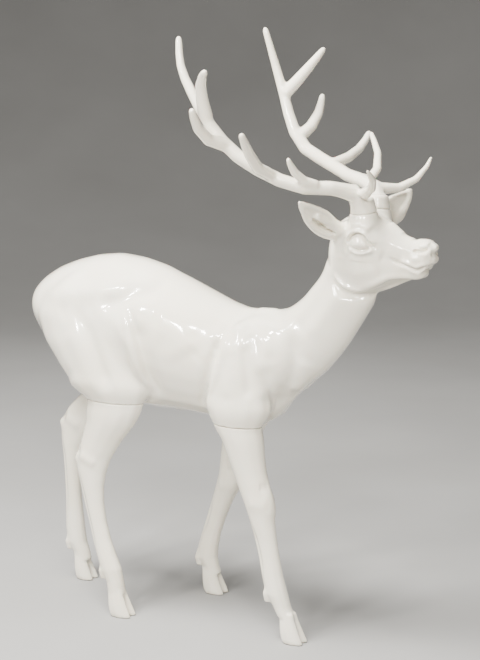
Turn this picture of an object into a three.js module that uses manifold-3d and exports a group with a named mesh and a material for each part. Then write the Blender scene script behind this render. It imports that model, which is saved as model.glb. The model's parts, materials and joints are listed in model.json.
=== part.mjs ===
// A light-up yard reindeer: a walking stag moulded in translucent white, on four hooves.
//
// The skin is two bonded halves of body, neck and head. Four legs, each cast round a steel rod, butt
// against flat faces under it, and the rods are clamped in two yokes of a welded frame inside. Two
// antlers lift out of sleeves in the skull. Lamps on the frame's spine shine through the skin, and a
// twist-lock cap in the belly gives access to their driver.
//
// Millimetres. +X is forward, +Y is the stag's left, +Z is up. The hooves stand on z = 0. The masses
// below are measured from a point midway between the hooves, and the last lines move the origin under
// the middle of the whole stag.

import * as THREE from "three";
import { mergeVertices } from "three/addons/utils/BufferGeometryUtils.js";
import Module from "manifold-3d";

const wasm = await Module();
wasm.setup();

// ---------------------------------------------------------------- driving dimensions

const GAP = 0.3; // clearance between pieces that meet
const WALL = 6; // wall of the moulded skin
const HIND_JOINT = 630; // height of the flat joint between haunch and hind leg
const FORE_JOINT = 600; // height of the flat joint between shoulder and foreleg
const ROD_R = 6; // rod in each leg
const ROD_RISE = 90; // how far each rod stands above its leg's joint
const SPINE = { x1: -300, x2: 330, z: 800, half: 15, wall: 3 }; // square tube
const NECK_BAR_R = 11;
const YOKE_BAR_R = 11;
const SOCKET_R = 13; // yoke socket round a leg rod
const SCREW = { r: 3, rise: 40 }; // screw that clamps a rod, and its height over the joint
const PIN = { r: 11, above: 26, below: 50 }; // pin at each antler's foot
const SLEEVE = { r: 14.5, below: 62 }; // sleeve in the skull round the pin
const PEDICLE = { top: 33, foot: 44 }; // radii of the skull's stump under an antler
const ANTLER_FOOT = { r: 31, height: 36 };
const LAMP = { r: 32, base: 8, flange: 29, lens: 26, crown: 17, wall: 3 };
// Each port is a flat-topped recess in the belly, of radius r and up to height z.
const HATCH = { x: 50, y: 0, z: 612, r: 42, tube: 36, bore: 31 };
const GLAND = { x: -60, y: 56, z: 636, r: 17, head: 12, thread: 7.5, cord: 2 };
const SWITCH = { x: 0, y: 60, z: 634, r: 17, flange: 13, barrel: 9, button: 6 };
const PORTS = [HATCH, GLAND, SWITCH];
const RIGHT = -1;
const LEFT = 1;
const SIDES = { right: RIGHT, left: LEFT };
const FAR = 2000; // beyond the whole stag

const MATERIALS = {
  skin: () => new THREE.MeshStandardMaterial({ color: 0xf4f2ea, roughness: 0.14, metalness: 0 }),
  steel: () => new THREE.MeshStandardMaterial({ color: 0x8d9196, roughness: 0.4, metalness: 0.9 }),
  aluminium: () => new THREE.MeshStandardMaterial({ color: 0xc9ccd0, roughness: 0.35, metalness: 0.8 }),
  black: () => new THREE.MeshStandardMaterial({ color: 0x1d1e20, roughness: 0.5, metalness: 0 }),
  rubber: () => new THREE.MeshStandardMaterial({ color: 0x2a2a2a, roughness: 0.9, metalness: 0 }),
  lens: () => new THREE.MeshStandardMaterial({ color: 0xfff3d0, roughness: 0.3, metalness: 0 }),
  white: () => new THREE.MeshStandardMaterial({ color: 0xe9e8e2, roughness: 0.4, metalness: 0 }),
};

// ---------------------------------------------------------------- the animal's masses
// A station of a mass is [x and z of one edge, x and z of the opposite edge, centre y, half width].
// The body's and head's go forward and start with the top edge. A limb's go down and start with the front.

const TRUNK = [
  [-474, 890, -472, 866, 0, 14],
  [-455, 935, -437, 812, 0, 74],
  [-398, 983, -360, 722, 0, 116],
  [-300, 1024, -266, 655, 0, 138],
  [-180, 1046, -170, 617, 0, 148],
  [-50, 1027, -55, 603, 0, 150],
  [60, 985, 55, 601, 0, 146],
  [150, 948, 160, 594, 0, 139],
  [238, 919, 246, 580, 0, 126],
  [317, 921, 336, 599, 0, 106],
  [366, 924, 414, 689, 0, 86],
  [411, 951, 498, 757, 0, 72],
  [451, 994, 560, 832, 0, 62],
  [483, 1035, 604, 904, 0, 57],
  [498, 1075, 639, 962, 0, 54],
  [520, 1110, 648, 1002, 0, 50],
];

const HEAD = [
  [506, 1120, 506, 1060, 0, 14],
  [525, 1168, 520, 1015, 0, 48],
  [562, 1196, 560, 988, 0, 66],
  [610, 1207, 612, 980, 0, 74],
  [652, 1199, 662, 994, 0, 70],
  [692, 1176, 700, 1009, 0, 56],
  [726, 1152, 736, 1026, 0, 43],
  [760, 1143, 765, 1036, 0, 37],
  [792, 1146, 790, 1042, 0, 37],
  [813, 1132, 806, 1055, 0, 30],
  [822, 1112, 815, 1088, 0, 12],
];

const HAUNCHES = {
  right: [
    [-235, 992, -290, 988, -80, 20],
    [-150, 948, -392, 915, -82, 56],
    [-85, 850, -408, 838, -90, 68],
    [-45, 750, -347, 750, -98, 68],
    [-22, 680, -284, 676, -105, 60],
    [-22, HIND_JOINT, -232, HIND_JOINT, -110, 52],
  ],
  left: [
    [-235, 992, -290, 988, 80, 20],
    [-150, 948, -392, 915, 82, 56],
    [-100, 850, -416, 838, 90, 68],
    [-92, 750, -380, 750, 96, 66],
    [-112, 685, -350, 680, 99, 58],
    [-140, HIND_JOINT, -345, HIND_JOINT, 100, 50],
  ],
};

const SHOULDERS = {
  right: [
    [290, 885, 250, 885, -78, 18],
    [325, 835, 232, 830, -84, 42],
    [352, 755, 205, 750, -88, 52],
    [366, 672, 180, 672, -92, 54],
    [352, FORE_JOINT, 183, FORE_JOINT, -98, 50],
  ],
  left: [
    [290, 885, 250, 885, 78, 18],
    [325, 835, 232, 830, 84, 42],
    [350, 755, 200, 750, 88, 52],
    [330, 672, 166, 672, 94, 54],
    [290, FORE_JOINT, 150, FORE_JOINT, 102, 50],
  ],
};

// Each leg runs from its joint to inside the hoof. Heel and toe are where the hoof meets the ground.
const LEGS = {
  hind_right: {
    stations: [
      [-22, HIND_JOINT, -232, HIND_JOINT, -110, 52],
      [-64, 560, -224, 563, -114, 45],
      [-112, 500, -244, 502, -118, 36],
      [-146, 440, -260, 446, -122, 31],
      [-157, 398, -247, 402, -126, 28],
      [-161, 350, -234, 352, -129, 24],
      [-154, 295, -219, 300, -132, 22],
      [-138, 235, -201, 242, -136, 22],
      [-119, 185, -182, 188, -139, 24],
      [-98, 145, -164, 138, -142, 27],
      [-88, 108, -142, 100, -144, 24],
      [-80, 66, -136, 62, -145, 24],
    ],
    heel: -126,
    toe: -51,
  },
  hind_left: {
    stations: [
      [-140, HIND_JOINT, -345, HIND_JOINT, 100, 50],
      [-212, 552, -398, 578, 100, 44],
      [-300, 484, -446, 528, 99, 36],
      [-364, 440, -464, 478, 98, 31],
      [-388, 398, -457, 420, 98, 28],
      [-394, 352, -453, 360, 98, 24],
      [-395, 298, -450, 302, 98, 22],
      [-391, 238, -449, 240, 98, 22],
      [-384, 170, -449, 172, 98, 24],
      [-378, 122, -446, 122, 98, 26],
      [-367, 90, -424, 86, 98, 23],
      [-360, 62, -418, 58, 98, 23],
    ],
    heel: -408,
    toe: -343,
  },
  front_right: {
    stations: [
      [352, FORE_JOINT, 183, FORE_JOINT, -98, 50],
      [352, 555, 222, 555, -98, 44],
      [356, 508, 246, 495, -99, 38],
      [366, 455, 264, 450, -100, 34],
      [385, 402, 285, 400, -101, 33],
      [388, 358, 302, 360, -102, 30],
      [394, 305, 321, 305, -103, 25],
      [403, 258, 335, 255, -104, 22],
      [414, 200, 349, 200, -105, 23],
      [431, 140, 361, 142, -106, 27],
      [442, 102, 384, 106, -106, 24],
      [456, 70, 402, 72, -106, 24],
    ],
    heel: 419,
    toe: 490,
  },
  front_left: {
    stations: [
      [290, FORE_JOINT, 150, FORE_JOINT, 102, 50],
      [242, 545, 118, 545, 112, 43],
      [205, 485, 94, 485, 122, 37],
      [178, 425, 84, 430, 132, 34],
      [157, 368, 71, 374, 142, 33],
      [128, 324, 52, 326, 149, 29],
      [99, 268, 30, 265, 156, 24],
      [71, 205, 7, 205, 162, 22],
      [56, 152, -9, 155, 166, 24],
      [51, 114, -20, 116, 168, 26],
      [55, 88, 0, 84, 169, 23],
      [63, 62, 3, 58, 170, 23],
    ],
    heel: 9,
    toe: 82,
  },
};

// The burr is the ring where an antler meets the skull. LIFT_OFF is the way the left antler lifts away.
// An antler's points are [x, distance from the middle plane, z]. The two differ a little, as antlers do.
const BURR = [622, 42, 1210];
const LIFT_OFF = [-0.05, 0.12, 0.99];

const ANTLERS = {
  right: {
    beam: [
      BURR,
      [618, 55, 1252],
      [580, 122, 1277],
      [500, 187, 1284],
      [401, 215, 1325],
      [325, 232, 1374],
      [268, 239, 1436],
      [220, 246, 1512],
      [180, 245, 1590],
      [168, 238, 1675],
    ],
    brow: [[640, 80, 1263], [690, 130, 1292], [703, 180, 1323], [705, 213, 1342]],
    bez: [[545, 165, 1287], [519, 200, 1303], [505, 230, 1334], [501, 254, 1370]],
    trez: [[440, 205, 1308], [423, 270, 1337], [427, 330, 1386], [437, 385, 1434]],
    surroyal: [[312, 234, 1388], [287, 282, 1404], [279, 330, 1439], [291, 383, 1493]],
    fork: [[255, 242, 1460], [261, 280, 1520], [279, 310, 1561], [312, 345, 1587]],
  },
  left: {
    beam: [
      BURR,
      [616, 55, 1254],
      [560, 105, 1274],
      [462, 162, 1291],
      [395, 202, 1316],
      [320, 226, 1342],
      [264, 238, 1405],
      [238, 246, 1475],
      [212, 250, 1548],
      [170, 238, 1694],
    ],
    brow: [[606, 80, 1264], [654, 142, 1263], [690, 192, 1300], [711, 214, 1353]],
    bez: [[560, 105, 1272], [566, 158, 1302], [549, 203, 1345], [500, 254, 1406]],
    trez: [[415, 192, 1312], [435, 260, 1329], [441, 330, 1357], [440, 385, 1396]],
    surroyal: [[286, 232, 1380], [297, 280, 1405], [300, 330, 1446], [287, 383, 1500]],
    fork: [[230, 248, 1500], [264, 280, 1548], [296, 310, 1597], [313, 345, 1635]],
  },
};
const BEAM = { root: 25, tip: 9, rings: 17 };
const TINE = { root: 19, tip: 8.5, rings: 5 };

const EARS = {
  right: { root: [549, -54, 1144], tip: [509, -212, 1251], facing: [0.7, -0.46, -0.42] },
  left: { root: [594, 56, 1158], tip: [650, 226, 1250], facing: [0.75, -0.1, 0.2] },
};

// ---------------------------------------------------------------- solids

// A closed geometry as a manifold-3d solid.
function solid(geometry) {
  const bare = new THREE.BufferGeometry().setAttribute("position", geometry.getAttribute("position"));
  if (geometry.index) bare.setIndex(geometry.index);
  const merged = mergeVertices(bare, 1e-3);
  const vertProperties = new Float32Array(merged.attributes.position.array);
  const triVerts = new Uint32Array(merged.index.array);
  return new wasm.Manifold(new wasm.Mesh({ numProp: 3, vertProperties, triVerts }));
}

// A manifold-3d solid as a geometry.
function geometryOf(made) {
  const { numProp, numVert, vertProperties, triVerts } = made.getMesh();
  const position = new Float32Array(numVert * 3);
  for (let i = 0; i < numVert; i++) {
    position.set(vertProperties.subarray(i * numProp, i * numProp + 3), i * 3);
  }
  const indexed = new THREE.BufferGeometry()
    .setAttribute("position", new THREE.BufferAttribute(position, 3))
    .setIndex(new THREE.BufferAttribute(new Uint32Array(triVerts), 1));
  const flat = indexed.toNonIndexed();
  flat.computeVertexNormals();
  return flat;
}

function union(solids) {
  return solids.reduce((all, one) => all.add(one));
}

function without(made, cutters) {
  return cutters.reduce((left, one) => left.subtract(one), made);
}

function box(low, high) {
  const size = high.map((value, i) => value - low[i]);
  const centre = high.map((value, i) => (value + low[i]) / 2);
  return solid(new THREE.BoxGeometry(...size).translate(...centre));
}

// Carries +Y onto the direction from one point to another, and the origin to midway between them.
function between(from, to) {
  const start = new THREE.Vector3(...from);
  const along = new THREE.Vector3(...to).sub(start);
  const turn = new THREE.Quaternion().setFromUnitVectors(
    new THREE.Vector3(0, 1, 0),
    along.clone().normalize(),
  );
  return new THREE.Matrix4().compose(start.addScaledVector(along, 0.5), turn, new THREE.Vector3(1, 1, 1));
}

function rod(from, to, radius, sides = 12) {
  const length = new THREE.Vector3(...from).distanceTo(new THREE.Vector3(...to));
  return solid(new THREE.CylinderGeometry(radius, radius, length, sides).applyMatrix4(between(from, to)));
}

// An upright disc or ring at a port's centre.
function disc({ x, y }, low, high, radius, sides = 18) {
  return rod([x, y, low], [x, y, high], radius, sides);
}

function ring(at, low, high, outer, inner, sides = 18) {
  return disc(at, low, high, outer, sides).subtract(disc(at, low - 1, high + 1, inner, sides));
}

function spline(points) {
  return new THREE.CatmullRomCurve3(points.map((p) => new THREE.Vector3(...p)));
}

function sweep(points, radius, sides, steps) {
  const section = new THREE.Shape().absarc(0, 0, radius, 0, 2 * Math.PI);
  const curveSegments = sides;
  return solid(new THREE.ExtrudeGeometry(section, { steps, curveSegments, extrudePath: spline(points) }));
}

// A smooth mass through stations, with an elliptical section at each one. Inset draws it in all round.
function mass(stations, { sides, rings, inset = 0 }) {
  const first = spline(stations.map(([x, z]) => [x, 0, z]));
  const second = spline(stations.map(([, , x, z]) => [x, 0, z]));
  const across = spline(stations.map(([, , , , y, half]) => [y, half, 0]));
  const made = new THREE.CylinderGeometry(1, 1, 1, sides, rings);
  const at = made.getAttribute("position");
  const v = new THREE.Vector3();
  for (let i = 0; i < at.count; i++) {
    v.fromBufferAttribute(at, i);
    const t = 0.5 - v.y;
    const p = first.getPoint(t);
    const q = second.getPoint(t);
    const w = across.getPoint(t);
    const middle = p.clone().add(q).multiplyScalar(0.5);
    const reach = p.distanceTo(q) / 2;
    const drawn = Math.max(reach - inset, 1) / reach;
    const point = middle.clone().addScaledVector(p.sub(middle), v.x * drawn);
    at.setXYZ(i, point.x, w.x - v.z * Math.max(w.y - inset, 1), point.z);
  }
  return solid(made);
}

// A round horn along a smooth line, from its root radius to a rounded tip. It holds its thickness at
// first and thins towards the tip, where its rings crowd together.
function horn(points, { root, tip, rings }, flare = 0) {
  const line = spline(points);
  const steps = 80;
  const { normals, binormals } = line.computeFrenetFrames(steps, false);
  const made = new THREE.CylinderGeometry(1, 1, 1, 8, rings);
  const at = made.getAttribute("position");
  const tipShare = Math.min(0.5, (1.6 * tip) / line.getLength());
  const v = new THREE.Vector3();
  for (let i = 0; i < at.count; i++) {
    v.fromBufferAttribute(at, i);
    const along = Math.sin(((0.5 - v.y) * Math.PI) / 2);
    const frame = Math.round(along * steps);
    const past = Math.max(0, (along - (1 - tipShare)) / tipShare);
    const thick = root + (tip - root) * along ** 1.6 + flare * Math.exp(-along * 14);
    const radius = thick * Math.sqrt(Math.max(0.04, 1 - past * past));
    const p = line.getPointAt(along);
    p.addScaledVector(normals[frame], v.x * radius).addScaledVector(binormals[frame], v.z * radius);
    at.setXYZ(i, p.x, p.y, p.z);
  }
  return solid(made);
}

// ---------------------------------------------------------------- legs

const LIMB = { sides: 12, rings: 12 };

function toes({ stations, heel, toe }) {
  const y = stations.at(-1)[4];
  return [RIGHT, LEFT].map((side) => {
    const toeStations = [
      [toe - 36, 86, heel - 8, 82, y + side * 9, 12],
      [toe - 24, 52, heel - 6, 48, y + side * 12, 15],
      [toe - 8, 18, heel - 2, 16, y + side * 15, 16],
      [toe, 0, heel + 6, 0, y + side * 15, 15],
    ];
    return mass(toeStations, { sides: 8, rings: 4 });
  });
}

function dewclaws({ stations }) {
  const [, , x, z, y] = stations.at(-3);
  return [RIGHT, LEFT].map((side) => {
    const clawStations = [
      [x + 34, z + 12, x + 6, z + 18, y + side * 12, 8],
      [x + 28, z - 10, x - 1, z - 8, y + side * 13, 10],
      [x + 26, z - 32, x + 5, z - 34, y + side * 13, 6],
    ];
    return mass(clawStations, { sides: 6, rings: 2 });
  });
}

// The middle of a leg's joint face.
function joint({ stations }) {
  const [x1, z, x2, , y] = stations[0];
  return { x: (x1 + x2) / 2, y, z };
}

// The rod stands upright above the joint and follows the middle of the leg down to the ankle.
function legRod(leg, grow = 0) {
  const { x, y, z } = joint(leg);
  const middles = leg.stations.slice(1, -1).map(([x1, z1, x2, z2, yy]) => [(x1 + x2) / 2, yy, (z1 + z2) / 2]);
  const upright = rod([x, y, z + 5], [x, y, z + ROD_RISE + grow], ROD_R + grow, 8);
  return upright.add(sweep([[x, y, z + 8], [x, y, z - 6], ...middles], ROD_R + grow, 3, 11));
}

function legSkin(leg) {
  const above = box([-FAR, -FAR, joint(leg).z - GAP], [FAR, FAR, FAR]);
  const limb = mass(leg.stations, LIMB).subtract(above);
  return union([limb, ...toes(leg), ...dewclaws(leg)]).subtract(legRod(leg, GAP));
}

// A socket of a yoke. Its cross bar lies over the top of the rods.
const SOCKET = { low: 14, high: ROD_RISE + 12 };

function socket(leg) {
  const { x, y, z } = joint(leg);
  return rod([x, y, z + SOCKET.low], [x, y, z + SOCKET.high], SOCKET_R, 10);
}

// The screw that clamps the rod in its socket. Its head stands out in front.
function setScrew(leg, grow = 0) {
  const { x, y, z } = joint(leg);
  const inner = x + ROD_R + GAP - grow;
  return rod([inner, y, z + SCREW.rise], [x + SOCKET_R + 6, y, z + SCREW.rise], SCREW.r + grow, 8);
}

function yoke(one, other) {
  const [a, b] = [joint(one), joint(other)];
  const z = a.z + SOCKET.high;
  const share = a.y / (a.y - b.y);
  const x = a.x + (b.x - a.x) * share;
  const bar = rod([a.x, a.y, z], [b.x, b.y, z], YOKE_BAR_R, 10);
  const post = rod([x, 0, z], [x, 0, SPINE.z - SPINE.half - GAP], YOKE_BAR_R, 10);
  const made = union([socket(one), socket(other), bar, post]);
  return without(made, [legRod(one, GAP), legRod(other, GAP), setScrew(one, GAP), setScrew(other, GAP)]);
}

// ---------------------------------------------------------------- antlers and ears

// A point of an antler's lift-off axis, so far above the burr.
function aboveBurr(side, distance) {
  const axis = new THREE.Vector3(...LIFT_OFF).normalize().multiplyScalar(distance);
  return [BURR[0] + axis.x, (BURR[1] + axis.y) * side, BURR[2] + axis.z];
}

function pedicle(side) {
  const [low, high] = [aboveBurr(side, -SLEEVE.below), aboveBurr(side, -GAP)];
  const made = new THREE.CylinderGeometry(PEDICLE.top, PEDICLE.foot, SLEEVE.below - GAP, 16);
  return solid(made.applyMatrix4(between(low, high)));
}

function antler(name) {
  const side = SIDES[name];
  const placed = (points) => points.map(([x, y, z]) => [x, y * side, z]);
  const { beam, ...tines } = ANTLERS[name];
  const horns = Object.values(tines).map((points) => horn(placed(points), TINE));
  const foot = rod(aboveBurr(side, -2), aboveBurr(side, ANTLER_FOOT.height), ANTLER_FOOT.r, 12);
  const below = rod(aboveBurr(side, -60), aboveBurr(side, 0), 90, 8);
  const bore = rod(aboveBurr(side, -1), aboveBurr(side, PIN.above + GAP), PIN.r + GAP);
  return without(union([horn(placed(beam), BEAM, 6), foot, ...horns]), [below, bore]);
}

function antlerPin(side, grow = 0) {
  return rod(aboveBurr(side, -PIN.below - grow), aboveBurr(side, PIN.above), PIN.r + grow);
}

function sleeve(side, grow = 0) {
  const top = grow > 0 ? 1 : -2 * GAP;
  return rod(aboveBurr(side, -SLEEVE.below - grow), aboveBurr(side, top), SLEEVE.r + grow);
}

const EAR_DEPTH = 0.45; // an ear's thickness, as a share of its width
const BOWL = { from: 0.14, to: 0.92, share: 0.72, depth: 0.5, shift: 11 };

// Half the width of an ear at a share of its length. It is widest a third of the way up.
function earHalfWidth(t) {
  const spread = 16 + 62 * t * (1 - t) * (1.7 - t);
  return spread * Math.sqrt(Math.max(0.01, 1 - t ** 4));
}

// A leaf along an ear's line, drawn in to a share of its width and moved towards the ear's open side.
function leaf({ root, tip, facing }, { share = 1, depth = EAR_DEPTH, shift = 0, grow = 0 } = {}) {
  const start = new THREE.Vector3(...root);
  const along = new THREE.Vector3(...tip).sub(start);
  const length = along.length();
  along.normalize();
  const open = new THREE.Vector3(...facing).projectOnPlane(along).normalize();
  const across = new THREE.Vector3().crossVectors(open, along);
  const made = new THREE.CylinderGeometry(1, 1, 1, 10, 7);
  const at = made.getAttribute("position");
  const v = new THREE.Vector3();
  for (let i = 0; i < at.count; i++) {
    v.fromBufferAttribute(at, i);
    const t = 0.5 - v.y;
    const half = share * earHalfWidth(t) + grow;
    const p = start.clone().addScaledVector(along, (length + 2 * grow) * t - grow);
    p.addScaledVector(across, v.x * half).addScaledVector(open, v.z * depth * half + shift);
    at.setXYZ(i, p.x, p.y, p.z);
  }
  return solid(made);
}

// The ear's bowl starts a little above its root and ends short of its tip.
function ear(name) {
  const { root, tip, facing } = EARS[name];
  const { from, to, share, depth, shift } = BOWL;
  const along = (part) => root.map((value, i) => value + (tip[i] - value) * part);
  const bowl = leaf({ root: along(from), tip: along(to), facing }, { share, depth, shift });
  return leaf(EARS[name]).subtract(bowl);
}

// ---------------------------------------------------------------- skin of body, neck and head

function body() {
  const legs = Object.values(LEGS);
  const limbs = [...Object.values(HAUNCHES), ...Object.values(SHOULDERS)];
  const outside = union([
    mass(TRUNK, { sides: 22, rings: 26 }),
    mass(HEAD, { sides: 16, rings: 16 }),
    ...limbs.map((stations) => mass(stations, { sides: 12, rings: 6 })),
    pedicle(RIGHT),
    pedicle(LEFT),
  ]);
  const pockets = legs.map((leg) => mass(leg.stations, { ...LIMB, inset: -2 * GAP }));
  const thickened = legs.map((leg) => mass(leg.stations, { ...LIMB, inset: -WALL }).translate([0, 0, WALL]));
  const inside = union([
    mass(TRUNK, { sides: 14, rings: 13, inset: WALL }),
    mass(HEAD.slice(1), { sides: 10, rings: 8, inset: WALL + 1 }),
    ...limbs.map((stations) => mass(stations.slice(1), { sides: 12, rings: 5, inset: 2 * WALL })),
  ]);
  const housings = PORTS.map((port) => disc(port, 0, port.z + WALL, port.r + WALL));
  const hollow = without(inside, [...thickened, ...housings]);
  const recesses = PORTS.map((port) => disc(port, 0, port.z, port.r));
  const bores = [
    disc(HATCH, 0, HATCH.z + 40, HATCH.tube + GAP),
    disc(GLAND, 0, GLAND.z + 30, GLAND.thread + GAP),
    disc(SWITCH, 0, SWITCH.z + 30, SWITCH.barrel + GAP),
    ...legs.map((leg) => legRod(leg, GAP)),
    ...Object.values(SIDES).map((side) => sleeve(side, GAP)),
    ...Object.values(EARS).map((one) => leaf(one, { grow: GAP })),
  ];
  return without(outside, [...pockets, hollow, ...recesses, ...bores]);
}

function half(whole, side) {
  const other = side === RIGHT ? [-GAP / 2, FAR] : [-FAR, GAP / 2];
  return whole.subtract(box([-FAR, other[0], -FAR], [FAR, other[1], FAR]));
}

// ---------------------------------------------------------------- frame and lights

function spineBar() {
  const { x1, x2, z, half: h, wall } = SPINE;
  const bore = box([x1 - 1, wall - h, z + wall - h], [x2 + 1, h - wall, z + h - wall]);
  return box([x1, -h, z - h], [x2, h, z + h]).subtract(bore);
}

// The neck bar rises from the front of the spine to a plate that holds the antler sleeves.
const NECK_LINE = [
  [296, 0, 838],
  [390, 0, 858],
  [468, 0, 925],
  [528, 0, 1010],
  [574, 0, 1092],
  [598, 0, 1156],
];

function neckBar() {
  const plate = box([590, -45, 1152], [648, 45, 1156]);
  const foot = box([286, -12, SPINE.z + SPINE.half + GAP], [330, 12, 846]);
  return without(union([sweep(NECK_LINE, NECK_BAR_R, 4, 12), plate, foot]), [
    sleeve(RIGHT, GAP),
    sleeve(LEFT, GAP),
  ]);
}

// Where each lamp sits, and which way it shines.
const LAMPS = {
  rump: spineLampSeat(-250),
  loin: spineLampSeat(-60),
  chest: spineLampSeat(190),
  neck: neckLampSeat(0.58),
};

function spineLampSeat(x) {
  return { at: [x, 0, SPINE.z + SPINE.half + GAP], up: [0, 0, 1] };
}

function neckLampSeat(share) {
  const line = spline(NECK_LINE);
  const tangent = line.getTangentAt(share);
  const up = new THREE.Vector3(-tangent.z, 0, tangent.x);
  const at = line.getPointAt(share).addScaledVector(up, NECK_BAR_R + 1);
  return { at: at.toArray(), up: up.toArray() };
}

function turned(profile, { at, up }, lift = 0) {
  const points = profile.map(([r, h]) => new THREE.Vector2(r, h));
  const start = new THREE.Vector3(...at);
  const end = start.clone().add(new THREE.Vector3(...up));
  const place = between(start.toArray(), end.toArray());
  return solid(new THREE.LatheGeometry(points, 14).translate(0, lift - 0.5, 0).applyMatrix4(place));
}

function lampBase(seat) {
  return turned([[0, 0], [LAMP.r, 0], [LAMP.r, LAMP.base], [0, LAMP.base]], seat);
}

// Two points of a dome's profile between its rim and its crown.
function dome(r, height) {
  return [30, 60].map((degrees) => {
    const angle = THREE.MathUtils.degToRad(degrees);
    return [r * Math.cos(angle), height * Math.sin(angle)];
  });
}

// A domed lens with a flange, hollow from below.
function lampLens(seat) {
  const { lens, flange, crown, wall } = LAMP;
  const outer = [[flange, 0], [flange, 2], [lens, 2], ...dome(lens, crown), [0, crown]];
  const inner = [[0, crown - wall], ...dome(lens - wall, crown - wall).reverse(), [lens - wall, 0]];
  return turned([...inner, ...outer, [0, crown - wall]], seat, LAMP.base + GAP);
}

const DRIVER = { x1: 100, x2: 214, y: 30, z1: 738, z2: SPINE.z - SPINE.half - GAP, wall: 2.5 };

function driverBox() {
  const { x1, x2, y, z1, z2, wall } = DRIVER;
  const room = box([x1 + wall, wall - y, z1 - 1], [x2 - wall, y - wall, z2 - wall]);
  return box([x1, -y, z1], [x2, y, z2]).subtract(room);
}

function driverLid() {
  const { x1, x2, y, z1, wall } = DRIVER;
  const inset = wall + GAP;
  const plate = box([x1, -y, z1 - 3], [x2, y, z1 - GAP]);
  return plate.add(box([x1 + inset, inset - y, z1 - 1], [x2 - inset, y - inset, z1 + 3]));
}

// One loom beside the spine, with a riser to each lamp and a drop to the driver.
const LOOM = { y: 22, z: 804, r: 2.5 };

function harness() {
  const { y, z, r } = LOOM;
  const under = SPINE.z + SPINE.half - GAP;
  const [rump, loin, chest] = [LAMPS.rump, LAMPS.loin, LAMPS.chest].map(({ at }) => at[0]);
  const neck = new THREE.Vector3(...LAMPS.neck.at);
  const up = new THREE.Vector3(...LAMPS.neck.up);
  const seat = (drop) => neck.clone().addScaledVector(up, -drop).setY(y).toArray();
  const branch = [[chest + 10, y, z], [300, y, 822], [390, y, 862], seat(22), seat(2 * GAP)];
  return union([
    rod([rump - r, y, z], [chest + 20, y, z], r, 6),
    ...[rump, loin, chest].map((x) => rod([x, y, z], [x, y, under], r, 6)),
    rod([DRIVER.x1 + 30, y, z], [DRIVER.x1 + 30, y, DRIVER.z2 + 2 * GAP], r, 6),
    sweep(branch, r, 3, 10),
  ]);
}

// ---------------------------------------------------------------- belly ports

const LUGS = [0, 120, 240].map((degrees) => THREE.MathUtils.degToRad(degrees));
const LIP = { low: HATCH.z + 10, high: HATCH.z + 14, r: 28 }; // the cap's lugs turn in over it
const CAP = { r: HATCH.bore - 1, top: HATCH.z + 4, skirt: 26.6, wall: 4, lug: 3.2, end: LIP.high + 6 };
const GRIP = { reach: 22, half: 3, drop: 9 };

// Three wedges round the hatch's axis, for the cap's lugs and the notches they enter by.
function wedges(low, high, radius, width, turn) {
  return LUGS.map((angle) => {
    const [x, y] = [Math.cos(angle + turn) * radius, Math.sin(angle + turn) * radius];
    return rod([HATCH.x + x, HATCH.y + y, low], [HATCH.x + x, HATCH.y + y, high], width, 6);
  });
}

function hatchRing() {
  const { z, r, tube: outer, bore } = HATCH;
  const flange = ring(HATCH, z - 3, z - GAP, r - 1, bore);
  const tube = ring(HATCH, z - 3, z + 24, outer, bore);
  const lip = ring(HATCH, LIP.low, LIP.high, bore + 1, LIP.r);
  const notches = wedges(LIP.low - 1, LIP.high + 1, LIP.r, CAP.lug + 1.3, Math.PI / 3);
  return without(union([flange, tube, lip]), notches);
}

function hatchCap() {
  const { x, y, z } = HATCH;
  const { reach, half, drop } = GRIP;
  const disk = disc(HATCH, z - 2, CAP.top, CAP.r);
  const grip = box([x - reach, y - half, z - drop], [x + reach, y + half, z - 1]);
  const skirt = ring(HATCH, CAP.top - 1, CAP.end, CAP.skirt, CAP.skirt - CAP.wall);
  const lugs = wedges(LIP.high + 2 * GAP, CAP.end, CAP.skirt, CAP.lug, 0);
  return union([disk, grip, skirt, ...lugs]);
}

function hatchSeal() {
  return ring(HATCH, CAP.top + GAP, LIP.low - GAP, CAP.r + GAP, CAP.skirt + 1);
}

function inletGland() {
  const { z, thread, cord } = GLAND;
  const head = disc(GLAND, z - 7, z - GAP, GLAND.head, 6);
  return head.add(disc(GLAND, z - 1, z + 20, thread)).subtract(disc(GLAND, z - 8, z + 21, cord, 12));
}

function glandNut() {
  const { z, head, thread } = GLAND;
  const hex = disc(GLAND, z + WALL + GAP, z + 2 * WALL, head, 6);
  return hex.subtract(disc(GLAND, z, z + 30, thread + GAP));
}

function switchBody() {
  const { z, flange, barrel, button } = SWITCH;
  const made = disc(SWITCH, z - 3, z - GAP, flange).add(disc(SWITCH, z - 1, z + 22, barrel));
  return made.subtract(disc(SWITCH, z - 4, z + 16, button + GAP));
}

function powerButton() {
  return disc(SWITCH, SWITCH.z - 6, SWITCH.z + 12, SWITCH.button);
}

// ---------------------------------------------------------------- the whole stag

const stag = new THREE.Group();

function add(name, made, material) {
  const mesh = new THREE.Mesh(geometryOf(made), MATERIALS[material]());
  mesh.name = name;
  stag.add(mesh);
}

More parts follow.
